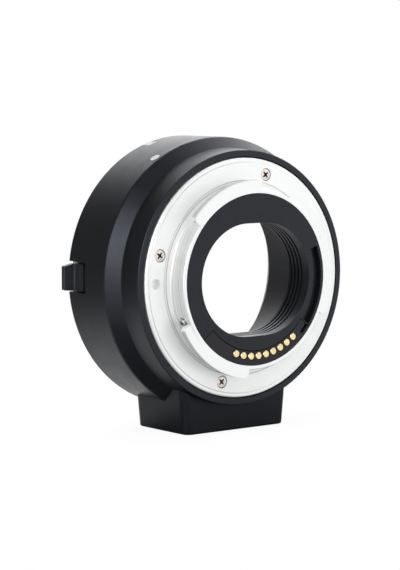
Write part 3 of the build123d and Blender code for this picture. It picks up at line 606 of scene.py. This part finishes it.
SCREW_PITCH = 0.4 * MM
SCREW_THREAD_STEPS = 20
SCREW_HEAD_SIDES = 56
SCREW_EDGE_SEGMENTS = 5
SCREW_SMOOTH_ANGLE = radians(32)

# Shares of the shank's radius, and of the head's radius and height
THREAD_ROOT = 0.78
SHANK_START = 0.8
ARM_LENGTH = 1.85
ARM_WIDTH = 0.36
ARM_DEPTH = 0.72

# Shares of the recess's own sizes
ARM_TAPER = (0.35, 0.6, 1)
ARM_ROUND = 1 / 5
ARM_SEGMENTS = 2
PIT_DEPTH = 1.05
PIT_POINT = 0.3
PIT_MOUTH = 1.7
PIT_INSET = 0.15
PIT_SIDES = 24

RELEASE_COIL = {
    "coil_radius": 0.925 * MM,
    "wire": 0.17 * MM,
    "low": 13.03 * MM,
    "high": 20.17 * MM,
    "turns": 7,
}
RELEASE_COIL_X = -29.6 * MM
RELEASE_COIL_Z = 0.4 * MM
CONTACT_COIL = {
    "coil_radius": 0.65 * MM,
    "wire": 0.14 * MM,
    "low": 16.63 * MM,
    "high": 19.62 * MM,
    "turns": 4,
}
CONTACT_CIRCLE = 23.9 * MM
CONTACT_STEP = 5.8
CONTACT_ROW_ANGLE = -90
CONTACT_ROW_MIDDLE = 4.5
CLOSED_TURN = 2.1
WIRE_SIDES = 12
COIL_STEPS = 28
COIL_MERGE = 0.002 * MM
COIL_SMOOTH_ANGLE = radians(50)

BUSH_ROOT = 2.55 * MM
BUSH_CREST = 3.15 * MM
BUSH_PITCH = 1.27 * MM
BUSH_OVERRUN = 0.5 * MM
BUSH_MOUTH = 0.5 * MM
BUSH_EDGE = 0.12 * MM
BUSH_EDGE_SEGMENTS = 2
BUSH_SIDES = 96
BUSH_THREAD_STEPS = 48
BUSH_MOUTH_SIDES = 64
BUSH_SMOOTH_ANGLE = radians(30)


# Screws, springs and the tripod bush


def threaded_rod(root, crest, pitch, low, high, steps, finish):
    """Rod along Z with a vee thread, cut square at both ends."""
    turns = ceil((high - low) / pitch) + SPARE_TURNS
    vee = crest - root
    let_go()
    bpy.ops.mesh.primitive_circle_add(vertices=3, radius=1.0, fill_type="NOTHING")
    rod = bpy.context.object
    bpy.ops.object.mode_set(mode="EDIT")
    pick_edges(rod, lambda end: end.y < 0)
    bpy.ops.mesh.delete(type="EDGE")
    bpy.ops.mesh.select_all(action="SELECT")
    bpy.ops.transform.resize(
        value=(pitch / VEE_WIDTH, vee / VEE_HEIGHT, 1), center_override=(0, 0, 0)
    )
    bpy.ops.transform.translate(value=(low - pitch / 2, root + vee / 3, 0))
    bpy.ops.object.mode_set(mode="OBJECT")
    thread = rod.modifiers.new("thread", "SCREW")
    thread.axis = "X"
    thread.screw_offset = pitch
    thread.iterations = turns
    thread.steps = steps
    thread.render_steps = steps
    bpy.ops.object.modifier_apply(modifier=thread.name)
    bpy.ops.object.mode_set(mode="EDIT")
    bpy.ops.mesh.select_all(action="SELECT")
    bpy.ops.mesh.remove_doubles(threshold=VEE_MERGE)
    for end, outwards in ((low, -1), (high, 1)):
        bpy.ops.mesh.select_all(action="SELECT")
        bpy.ops.mesh.bisect(
            plane_co=(end, 0, 0), plane_no=(outwards, 0, 0), use_fill=True, clear_outer=True
        )
    bpy.ops.mesh.select_all(action="SELECT")
    bpy.ops.mesh.normals_make_consistent(inside=False)
    bpy.ops.object.mode_set(mode="OBJECT")
    rod.rotation_euler = (0, -pi / 2, 0)
    settle(rod)
    coat(rod, finish)
    return rod


def recess_arm(length, width, depth, turn):
    """Wedge-shaped tool for one pair of arms of a cross recess."""
    let_go()
    bpy.ops.mesh.primitive_cube_add(size=1.0)
    arm = bpy.context.object
    bpy.ops.object.mode_set(mode="EDIT")
    bpy.ops.mesh.select_all(action="SELECT")
    bpy.ops.transform.resize(value=(length, width, 2 * depth), center_override=(0, 0, 0))
    pick_faces(arm, lambda normal: normal.z < -FACING)
    bpy.ops.transform.resize(value=ARM_TAPER, center_override=(0, 0, -depth))
    bpy.ops.object.mode_set(mode="OBJECT")
    bevel = arm.modifiers.new("round", "BEVEL")
    bevel.width = ARM_ROUND * width
    bevel.segments = ARM_SEGMENTS
    bpy.ops.object.modifier_apply(modifier=bevel.name)
    arm.rotation_euler = (0, 0, turn)
    settle(arm)
    # The faces this tool cuts take its dark finish: painted shade with some oxide
    coat(arm, recess_shade_and_oxide)
    return arm


def recess_pit(radius, depth):
    """Pointed tool for the middle of a cross recess."""
    let_go()
    bpy.ops.mesh.primitive_cone_add(
        vertices=PIT_SIDES, radius1=PIT_POINT * radius, radius2=PIT_MOUTH * radius, depth=2 * depth
    )
    pit = bpy.context.object
    bpy.ops.object.mode_set(mode="EDIT")
    pick_faces(pit, lambda normal: normal.z < -FACING)
    bpy.ops.mesh.inset(thickness=PIT_INSET * radius, depth=-PIT_INSET * radius)
    bpy.ops.object.mode_set(mode="OBJECT")
    # The faces this tool cuts take its dark finish: painted shade with some oxide
    coat(pit, recess_shade_and_oxide)
    return pit


def cross_screw(head_radius, head_height, round_edge, shank_radius, length, finish):
    """Screw along Z with a cross recess, its head's top at the origin."""
    let_go()
    bpy.ops.mesh.primitive_cylinder_add(
        vertices=SCREW_HEAD_SIDES,
        radius=head_radius,
        depth=head_height,
        location=(0, 0, -head_height / 2),
    )
    screw = bpy.context.object
    settle(screw)
    bpy.ops.object.mode_set(mode="EDIT")
    pick_faces(screw, lambda normal: normal.z > FACING)
    bpy.ops.mesh.bevel(offset=round_edge, segments=SCREW_EDGE_SEGMENTS, affect="EDGES")
    bpy.ops.object.mode_set(mode="OBJECT")
    coat(screw, finish)
    shank = threaded_rod(
        root=THREAD_ROOT * shank_radius,
        crest=shank_radius,
        pitch=SCREW_PITCH,
        low=-length,
        high=-SHANK_START * head_height,
        steps=SCREW_THREAD_STEPS,
        finish=finish,
    )
    carve(screw, shank, "UNION")
    arm_width = ARM_WIDTH * head_radius
    arm_depth = ARM_DEPTH * head_height
    for turn in (0, pi / 2):
        carve(screw, recess_arm(ARM_LENGTH * head_radius, arm_width, arm_depth, turn), "DIFFERENCE")
    carve(screw, recess_pit(arm_width, PIT_DEPTH * arm_depth), "DIFFERENCE")
    take(screw)
    bpy.ops.object.shade_smooth_by_angle(angle=SCREW_SMOOTH_ANGLE)
    return screw


def screw_set(master, heads, facing, turns, name, node):
    """Copies of a screw with their heads' tops at the given points, in place of a CAD node."""
    copies = []
    for head, turn in zip(heads, turns):
        copy = copy_of(master)
        spin = Quaternion((0, 0, 1), radians(turn))
        copy.location = head
        copy.rotation_euler = (Vector((0, 0, 1)).rotation_difference(facing) @ spin).to_euler()
        settle(copy)
        copies.append(copy)
    dress(join(copies), name, node)


def screw_circle(master, radius, y, angles, facing, turns, name, node):
    """Set of screws on a circle about the optical axis."""
    heads = [on_circle(radius, angle, y) for angle in angles]
    screw_set(master, heads, facing, turns, name, node)


def coil_spring(coil_radius, wire, low, high, turns):
    """Compression spring along Y with a closed turn at each end."""
    closed = CLOSED_TURN * wire
    open_pitch = (high - low - 2 * wire - 2 * closed) / turns
    runs = (
        (low + wire, closed, 1),
        (low + wire + closed, open_pitch, turns),
        (high - wire - closed, closed, 1),
    )
    pieces = []
    for start, pitch, count in runs:
        let_go()
        bpy.ops.mesh.primitive_circle_add(
            vertices=WIRE_SIDES, radius=wire, fill_type="NOTHING", location=(coil_radius, start, 0)
        )
        run = bpy.context.object
        settle(run)
        coil = run.modifiers.new("coil", "SCREW")
        coil.axis = "Y"
        coil.screw_offset = pitch
        coil.iterations = count
        coil.steps = COIL_STEPS
        coil.render_steps = COIL_STEPS
        bpy.ops.object.modifier_apply(modifier=coil.name)
        pieces.append(run)
    spring = join(pieces)
    bpy.ops.object.mode_set(mode="EDIT")
    bpy.ops.mesh.select_all(action="SELECT")
    bpy.ops.mesh.remove_doubles(threshold=COIL_MERGE)
    bpy.ops.mesh.fill_holes(sides=0)
    bpy.ops.mesh.select_all(action="SELECT")
    bpy.ops.mesh.normals_make_consistent(inside=False)
    bpy.ops.object.mode_set(mode="OBJECT")
    bpy.ops.object.shade_smooth_by_angle(angle=COIL_SMOOTH_ANGLE)
    coat(spring, spring_wire)
    return spring


def place_spring(master, x, z, name, node):
    """Copy of a spring on its own axis, with a mesh of its own."""
    spring = copy_of(master)
    spring.location = (x, 0, z)
    settle(spring)
    dress(spring, name, node)
    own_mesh(spring)


def threaded_bush():
    """Steel bush with the thread of a tripod screw in its bore."""
    let_go()
    low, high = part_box("tripod_bush")
    height = high[2] - low[2]
    radius = (high[0] - low[0]) / 2
    centre = (0, (low[1] + high[1]) / 2, (low[2] + high[2]) / 2)
    bpy.ops.mesh.primitive_cylinder_add(vertices=BUSH_SIDES, radius=radius, depth=height)
    bush = bpy.context.object
    bpy.ops.object.mode_set(mode="EDIT")
    pick_faces(bush, lambda normal: abs(normal.z) > FACING)
    bpy.ops.mesh.bevel(offset=BUSH_EDGE, segments=BUSH_EDGE_SEGMENTS, affect="EDGES")
    bpy.ops.object.mode_set(mode="OBJECT")
    coat(bush, socket_steel)
    thread = threaded_rod(
        root=BUSH_ROOT,
        crest=BUSH_CREST,
        pitch=BUSH_PITCH,
        low=-height / 2 - BUSH_OVERRUN,
        high=height / 2 + BUSH_OVERRUN,
        steps=BUSH_THREAD_STEPS,
        finish=socket_steel,
    )
    carve(bush, thread, "DIFFERENCE")
    let_go()
    bpy.ops.mesh.primitive_cone_add(
        vertices=BUSH_MOUTH_SIDES,
        radius1=BUSH_CREST + BUSH_MOUTH,
        radius2=BUSH_CREST - BUSH_MOUTH,
        depth=2 * BUSH_MOUTH,
        location=(0, 0, -height / 2),
    )
    mouth = bpy.context.object
    settle(mouth)
    coat(mouth, socket_steel)
    carve(bush, mouth, "DIFFERENCE")
    take(bush)
    bpy.ops.object.shade_smooth_by_angle(angle=BUSH_SMOOTH_ANGLE)
    bush.location = centre
    settle(bush)
    dress(bush, "threaded_bush", "tripod_bush")


short_screw = cross_screw(**SHORT_SCREW, finish=screw_nickel)
screw_circle(
    short_screw,
    radius=25.2 * MM,
    y=0.15 * MM,
    angles=(75, 165, 255, 345),
    facing=TO_CAMERA,
    turns=(38, 52, 44, 30),
    name="camera_ring_screws",
    node="camera_mount_screws",
)
screw_circle(
    short_screw,
    radius=29.6 * MM,
    y=25.85 * MM,
    angles=(30, 120, 210, 300),
    facing=TO_LENS,
    turns=(12, 47, 71, 25),
    name="lens_ring_screws",
    node="lens_mount_screws",
)
screw_circle(
    short_screw,
    radius=25.0 * MM,
    y=8.35 * MM,
    angles=(30, 120, 210),
    facing=TO_LENS,
    turns=(20, 65, 40),
    name="light_baffle_screws",
    node="baffle_screws",
)
bpy.data.objects.remove(short_screw)

long_screw = cross_screw(**LONG_SCREW, finish=screw_nickel)
screw_circle(
    long_screw,
    radius=25.6 * MM,
    y=22.75 * MM,
    angles=(-121, -59),
    facing=TO_LENS,
    turns=(15, 58),
    name="contact_block_screws",
    node="lens_contact_screws",
)
bpy.data.objects.remove(long_screw)

stop_screw = cross_screw(**STOP_SCREW, finish=spring_wire)
screw_circle(
    stop_screw,
    radius=STOP_HEAD_RADIUS,
    y=STOP_SCREW_Y,
    angles=(STOP_SCREW_ANGLE,),
    facing=on_circle(1, STOP_SCREW_ANGLE, 0),
    turns=(20,),
    name="stop_screw",
    node="bayonet_stop_pin",
)
bpy.data.objects.remove(stop_screw)

foot_screw = cross_screw(**FOOT_SCREW, finish=screw_nickel)
screw_set(
    foot_screw,
    heads=[Vector((x, FOOT_HEADS_Y, FOOT_HEADS_Z)) for x in FOOT_HEADS_X],
    facing=DOWN,
    turns=(33, 8),
    name="tripod_foot_screws",
    node="foot_screws",
)
bpy.data.objects.remove(foot_screw)

release_coil = coil_spring(**RELEASE_COIL)
place_spring(
    release_coil,
    x=RELEASE_COIL_X,
    z=RELEASE_COIL_Z,
    name="release_coil",
    node="release_spring",
)
bpy.data.objects.remove(release_coil)

contact_coil = coil_spring(**CONTACT_COIL)
for number in CONTACT_NUMBERS:
    angle = CONTACT_ROW_ANGLE + CONTACT_STEP * (number - CONTACT_ROW_MIDDLE)
    place = on_circle(CONTACT_CIRCLE, angle, 0)
    place_spring(
        contact_coil,
        x=place.x,
        z=place.z,
        name=f"contact_coil_{number}",
        node=f"lens_contact_spring_{number}",
    )
bpy.data.objects.remove(contact_coil)

threaded_bush()


# Values of the floor, light and camera, with lengths in metres where they are not in MM

FLOOR_LEVEL = -36.87 * MM
FLOOR_RADIUS = 0.9
FLOOR_SIDES = 96
FLOOR_TONE = 0.10
FLOOR_ROUGHNESS = 0.9
FLOOR_BOUNCE = 0.55
FLOOR_FADE = {"start": 0.05, "end": 0.14, "first": 0.0, "last": 1.0}

# Painted shadow under the object and darker floor behind it, both seen only as polished metal mirrors
# them
SHADE_CENTRE = (-0.018, -0.003, 0)
SHADE_SIZE = (0.078, 0.024, 1)
SHADE_EDGE = {"start": 0.7, "end": 1.3, "first": 0.08, "last": 1.0}
BACK_FADE = {"start": 0.03, "end": 0.12, "first": 1.0, "last": 0.25}

# Each panel of light has a direction, a spread in degrees and a strength
PANEL_CORE = 1 / 4
PLAIN_LEVEL = 0.55
PLAIN_ON_FLOOR = 0.85
PLAIN_PANELS = (
    ((-0.45, -0.85, 0.30), 80, 0.95),
    ((0.35, 0.85, 0.35), 80, 0.95),
)
STUDIO_DIM = 0.09
STUDIO_PANELS = (
    ((0.50, 0.72, 0.48), 40, 2.4),
    ((0.70, 0.15, 0.70), 45, 1.2),
    ((-0.10, -0.25, 0.96), 45, 0.15),
    ((-0.86, -0.37, 0.34), 29, 5.5),
    ((0.55, -0.83, 0.10), 80, 1.26),
    ((-0.60, -0.80, 0.0), 45, 0.24),
    ((0.97, 0.10, 0.10), 50, 0.6),
    ((-0.50, 0.80, 0.28), 45, 0.10),
)

CAMERA_AZIMUTH = radians(-36.382)
CAMERA_ELEVATION = radians(5.790)
CAMERA_DISTANCE = 461.337 * MM
CAMERA_TO_RIGHT = -10.462 * MM
CAMERA_UPWARD = -1.652 * MM
CAMERA_SENSOR = 36
CAMERA_NEAREST = 0.01
FOCAL_PIXELS = 1943.317
PICTURE_HEIGHT = 570


# Floor, light and camera


def ray_kinds(tree):
    """Rays that look straight at a thing, rays that mirror it, and rays of diffuse light."""
    kinds = tree.nodes.new("ShaderNodeLightPath").outputs
    straight = maths(tree, "MAXIMUM", kinds["Is Camera Ray"], kinds["Is Transmission Ray"])
    return straight, kinds["Is Glossy Ray"], kinds["Is Diffuse Ray"]


def mirrored_floor(tree, place):
    """Brightness of the floor in polished metal: a painted shadow under the object, and dim behind it."""
    patch = tree.nodes.new("ShaderNodeMapping")
    patch.vector_type = "TEXTURE"
    patch.inputs["Location"].default_value = SHADE_CENTRE
    patch.inputs["Scale"].default_value = SHADE_SIZE
    tree.links.new(place, patch.inputs["Vector"])
    outwards = smooth_step(tree, length_of(tree, patch.outputs["Vector"]), **SHADE_EDGE)
    backwards = smooth_step(tree, along_axes(tree, place)[1], **BACK_FADE)
    return maths(tree, "MULTIPLY", outwards, backwards)


def pale_floor():
    """Round pale floor that keeps a soft shadow near the object and fades to plain white."""
    let_go()
    bpy.ops.mesh.primitive_circle_add(
        vertices=FLOOR_SIDES, radius=FLOOR_RADIUS, fill_type="NGON", location=(0, 0, FLOOR_LEVEL)
    )
    floor = bpy.context.object
    floor.name = "pale_floor"
    finish, tree, shader, place = start_finish("pale_floor")
    shader.inputs["Base Color"].default_value = (FLOOR_TONE, FLOOR_TONE, FLOOR_TONE, 1)
    shader.inputs["Roughness"].default_value = FLOOR_ROUGHNESS
    shader.inputs["Specular IOR Level"].default_value = 0.0
    straight, mirroring, diffuse = ray_kinds(tree)
    mirrored = maths(tree, "MULTIPLY", mirroring, mirrored_floor(tree, place))
    bounced = maths(tree, "MULTIPLY", diffuse, FLOOR_BOUNCE)
    thrown = maths(tree, "ADD", mirrored, bounced)
    lit_share = FLOOR_TONE * PLAIN_ON_FLOOR
    near = maths(tree, "ADD", maths(tree, "MULTIPLY", straight, 1.0 - lit_share), thrown)
    far = maths(tree, "ADD", straight, thrown)
    shader.inputs["Emission Color"].default_value = WHITE
    tree.links.new(near, shader.inputs["Emission Strength"])
    glow = tree.nodes.new("ShaderNodeEmission")
    tree.links.new(far, glow.inputs["Strength"])
    blend = tree.nodes.new("ShaderNodeMixShader")
    tree.links.new(smooth_step(tree, length_of(tree, place), **FLOOR_FADE), blend.inputs["Fac"])
    tree.links.new(shader.outputs["BSDF"], blend.inputs[1])
    tree.links.new(glow.outputs["Emission"], blend.inputs[2])
    tree.links.new(blend.outputs["Shader"], tree.nodes["Material Output"].inputs["Surface"])
    coat(floor, finish)


def soft_panels(tree, direction, panels, level):
    """Light that is level all round, with soft round panels added."""
    for towards, spread_angle, strength in panels:
        facing = tree.nodes.new("ShaderNodeVectorMath")
        facing.operation = "DOT_PRODUCT"
        facing.inputs[1].default_value = Vector(towards).normalized()
        tree.links.new(direction, facing.inputs[0])
        edge = cos(radians(spread_angle))
        core = cos(radians(PANEL_CORE * spread_angle))
        panel = smooth_step(tree, facing.outputs["Value"], edge, core, first=0.0, last=strength)
        level = maths(tree, "ADD", panel, level)
    return level


def studio_world():
    """White behind the object, plain panels for diffuse light, and studio panels in reflections."""
    world = bpy.data.worlds.new("studio")
    scene.world = world
    world.use_nodes = True
    tree = world.node_tree
    background = tree.nodes["Background"]
    direction = tree.nodes.new("ShaderNodeTexCoord").outputs["Generated"]
    straight, mirroring, _ = ray_kinds(tree)
    studio = soft_panels(tree, direction, STUDIO_PANELS, STUDIO_DIM)
    plain = soft_panels(tree, direction, PLAIN_PANELS, PLAIN_LEVEL)
    mirrored = maths(tree, "MULTIPLY", mirroring, studio)
    other = maths(tree, "SUBTRACT", 1.0, maths(tree, "MAXIMUM", mirroring, straight))
    diffuse = maths(tree, "MULTIPLY", other, plain)
    light = maths(tree, "ADD", maths(tree, "ADD", mirrored, straight), diffuse)
    tree.links.new(light, background.inputs["Strength"])
    background.inputs["Color"].default_value = WHITE


def photo_camera():
    """Long lens at the place the photograph was taken from."""
    side = Vector((sin(CAMERA_AZIMUTH), -cos(CAMERA_AZIMUTH), 0))
    right = Vector((cos(CAMERA_AZIMUTH), sin(CAMERA_AZIMUTH), 0))
    upright = Vector((0, 0, 1))
    towards = cos(CAMERA_ELEVATION) * side + sin(CAMERA_ELEVATION) * upright
    upward = cos(CAMERA_ELEVATION) * upright - sin(CAMERA_ELEVATION) * side
    lens = bpy.data.cameras.new("photo_camera")
    lens.sensor_width = CAMERA_SENSOR
    lens.lens = CAMERA_SENSOR * FOCAL_PIXELS / PICTURE_HEIGHT
    lens.clip_start = CAMERA_NEAREST
    camera = bpy.data.objects.new("photo_camera", lens)
    scene.collection.objects.link(camera)
    camera.location = CAMERA_DISTANCE * towards + CAMERA_TO_RIGHT * right + CAMERA_UPWARD * upward
    camera.rotation_euler = (-towards).to_track_quat("-Z", "Y").to_euler()
    scene.camera = camera


pale_floor()
studio_world()
photo_camera()
scene.view_settings.view_transform = "Standard"
